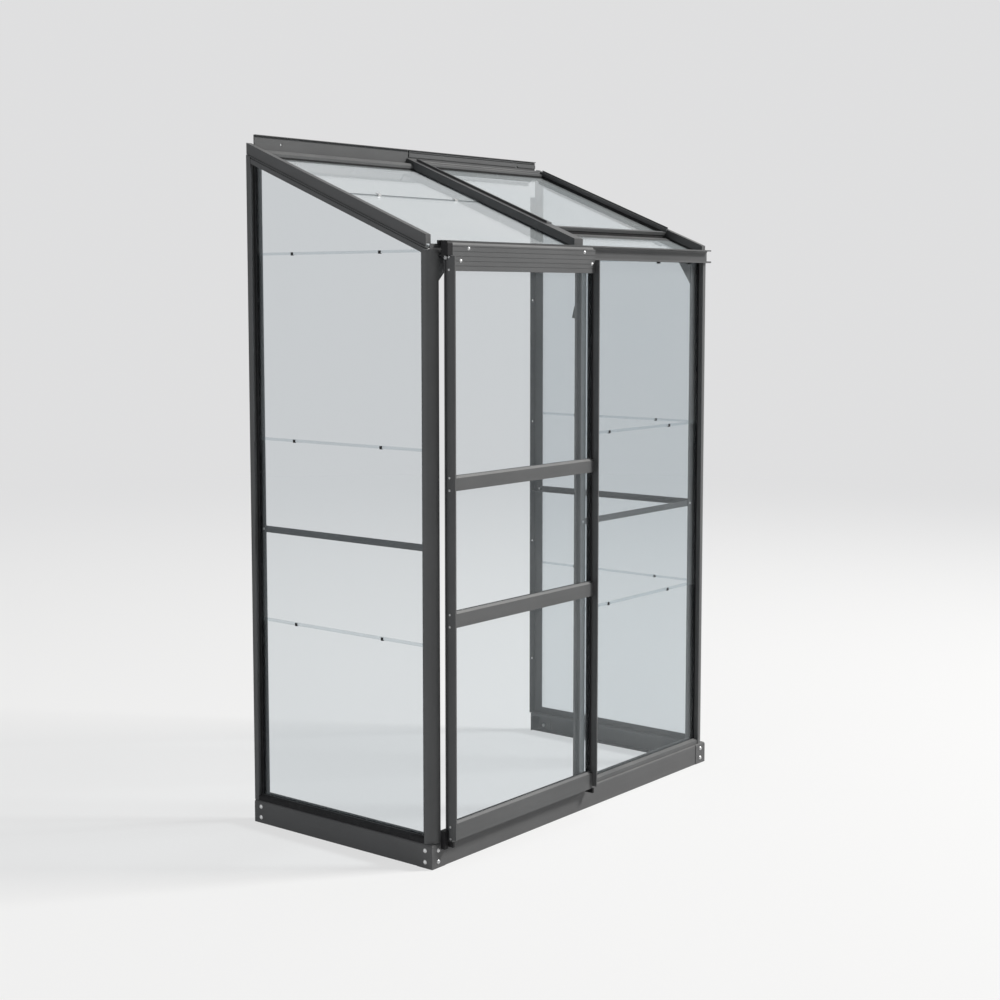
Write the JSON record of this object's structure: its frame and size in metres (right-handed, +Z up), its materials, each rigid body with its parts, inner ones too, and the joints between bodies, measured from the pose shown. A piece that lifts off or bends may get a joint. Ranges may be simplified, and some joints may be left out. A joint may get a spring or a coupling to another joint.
{
  "type": "lean-to greenhouse",
  "caption": "Lean-to greenhouse with lapped glass panes in a grey metal frame, a sliding front door on rollers, a hinged roof vent with stay and a steel base.",
  "frame": {"origin": "middle of the footprint at floor level, under the base", "axes": "+X along the front to the right as seen from the garden, +Y back to the house wall, +Z up"},
  "size_m": [1.3234, 0.695, 1.9],
  "materials": {
    "grey_aluminium": "matt grey powder coat on extruded aluminium",
    "grey_steel": "matt grey powder coat on cold formed steel",
    "glass": "clear horticultural glass",
    "black_rubber": "black glazing rubber",
    "black_plastic": "black moulded plastic",
    "zinc_steel": "bright zinc plated steel"
  },
  "bodies": {
    "frame": {"base_bolts": "zinc_steel", "base_corner_plates": "grey_steel", "base_rail_front": "grey_steel", "base_rail_left": "grey_steel", "base_rail_right": "grey_steel", "base_wall_brackets": "grey_steel", "centre_post": "grey_aluminium", "corner_post_left": "grey_aluminium", "corner_post_right": "grey_aluminium", "door_stop_block": "black_plastic", "eave_gussets": "grey_aluminium", "eave_track": "grey_aluminium", "frame_bolts": "zinc_steel", "front_panes": "glass", "gable_rail_left": "grey_aluminium", "gable_rail_right": "grey_aluminium", "glazing_seals": "black_rubber", "lap_clips": "black_plastic", "left_gable_pane": "glass", "left_wall_panes": "glass", "mid_bar_front": "grey_aluminium", "mid_bar_left": "grey_aluminium", "mid_bar_right": "grey_aluminium", "rafter_centre": "grey_aluminium", "rafter_left": "grey_aluminium", "rafter_right": "grey_aluminium", "ridge_plate": "grey_aluminium", "right_gable_pane": "glass", "right_wall_panes": "glass", "roof_pane_left_lower": "glass", "roof_pane_left_upper": "glass", "roof_pane_right_lower": "glass", "sill_front": "grey_aluminium", "sill_left": "grey_aluminium", "sill_right": "grey_aluminium", "vent_sill_bar": "grey_aluminium", "wall_post_left": "grey_aluminium", "wall_post_right": "grey_aluminium"},
    "door": {"door_bottom_rail": "grey_aluminium", "door_end_block": "black_plastic", "door_fixings": "zinc_steel", "door_gliders": "black_plastic", "door_mid_rail_lower": "grey_aluminium", "door_mid_rail_upper": "grey_aluminium", "door_pane_lower": "glass", "door_pane_middle": "glass", "door_pane_upper": "glass", "door_stile_left": "grey_aluminium", "door_stile_right": "grey_aluminium", "door_top_rail": "grey_aluminium", "roller_brackets": "zinc_steel"},
    "left_roller": {"roller_left": "black_plastic"},
    "right_roller": {"roller_right": "black_plastic"},
    "vent": {"vent_bottom_rail": "grey_aluminium", "vent_hinge_bar": "grey_aluminium", "vent_pane": "glass", "vent_rail_left": "grey_aluminium", "vent_rail_right": "grey_aluminium", "vent_seals": "black_rubber"},
    "stay": {"vent_stay": "grey_aluminium"}
  },
  "joints": [
    {"name": "door_slide", "type": "slide", "parent": "frame", "child": "door", "axis": [1, 0, 0], "range_m": [0, 0.6]},
    {"name": "left_roller_spin", "type": "hinge", "parent": "door", "child": "left_roller", "pos_m": [-0.5515, -0.30575, 1.5792], "axis": [0, 1, 0], "continuous": true},
    {"name": "right_roller_spin", "type": "hinge", "parent": "door", "child": "right_roller", "pos_m": [-0.0185, -0.30575, 1.5792], "axis": [0, 1, 0], "continuous": true},
    {"name": "vent_hinge", "type": "hinge", "parent": "frame", "child": "vent", "pos_m": [0.314, 0.332, 1.866], "axis": [-1, 0, 0], "range_deg": [0, 45]},
    {"name": "stay_pivot", "type": "hinge", "parent": "vent", "child": "stay", "pos_m": [0.3015, -0.1459, 1.6475], "axis": [0, 1, 0], "range_deg": [0, 90]}
  ],
  "couplings": [
    {"joint": "left_roller_spin", "follows": "door_slide", "rad_per_m": 83.333},
    {"joint": "right_roller_spin", "follows": "door_slide", "rad_per_m": 83.333}
  ]
}
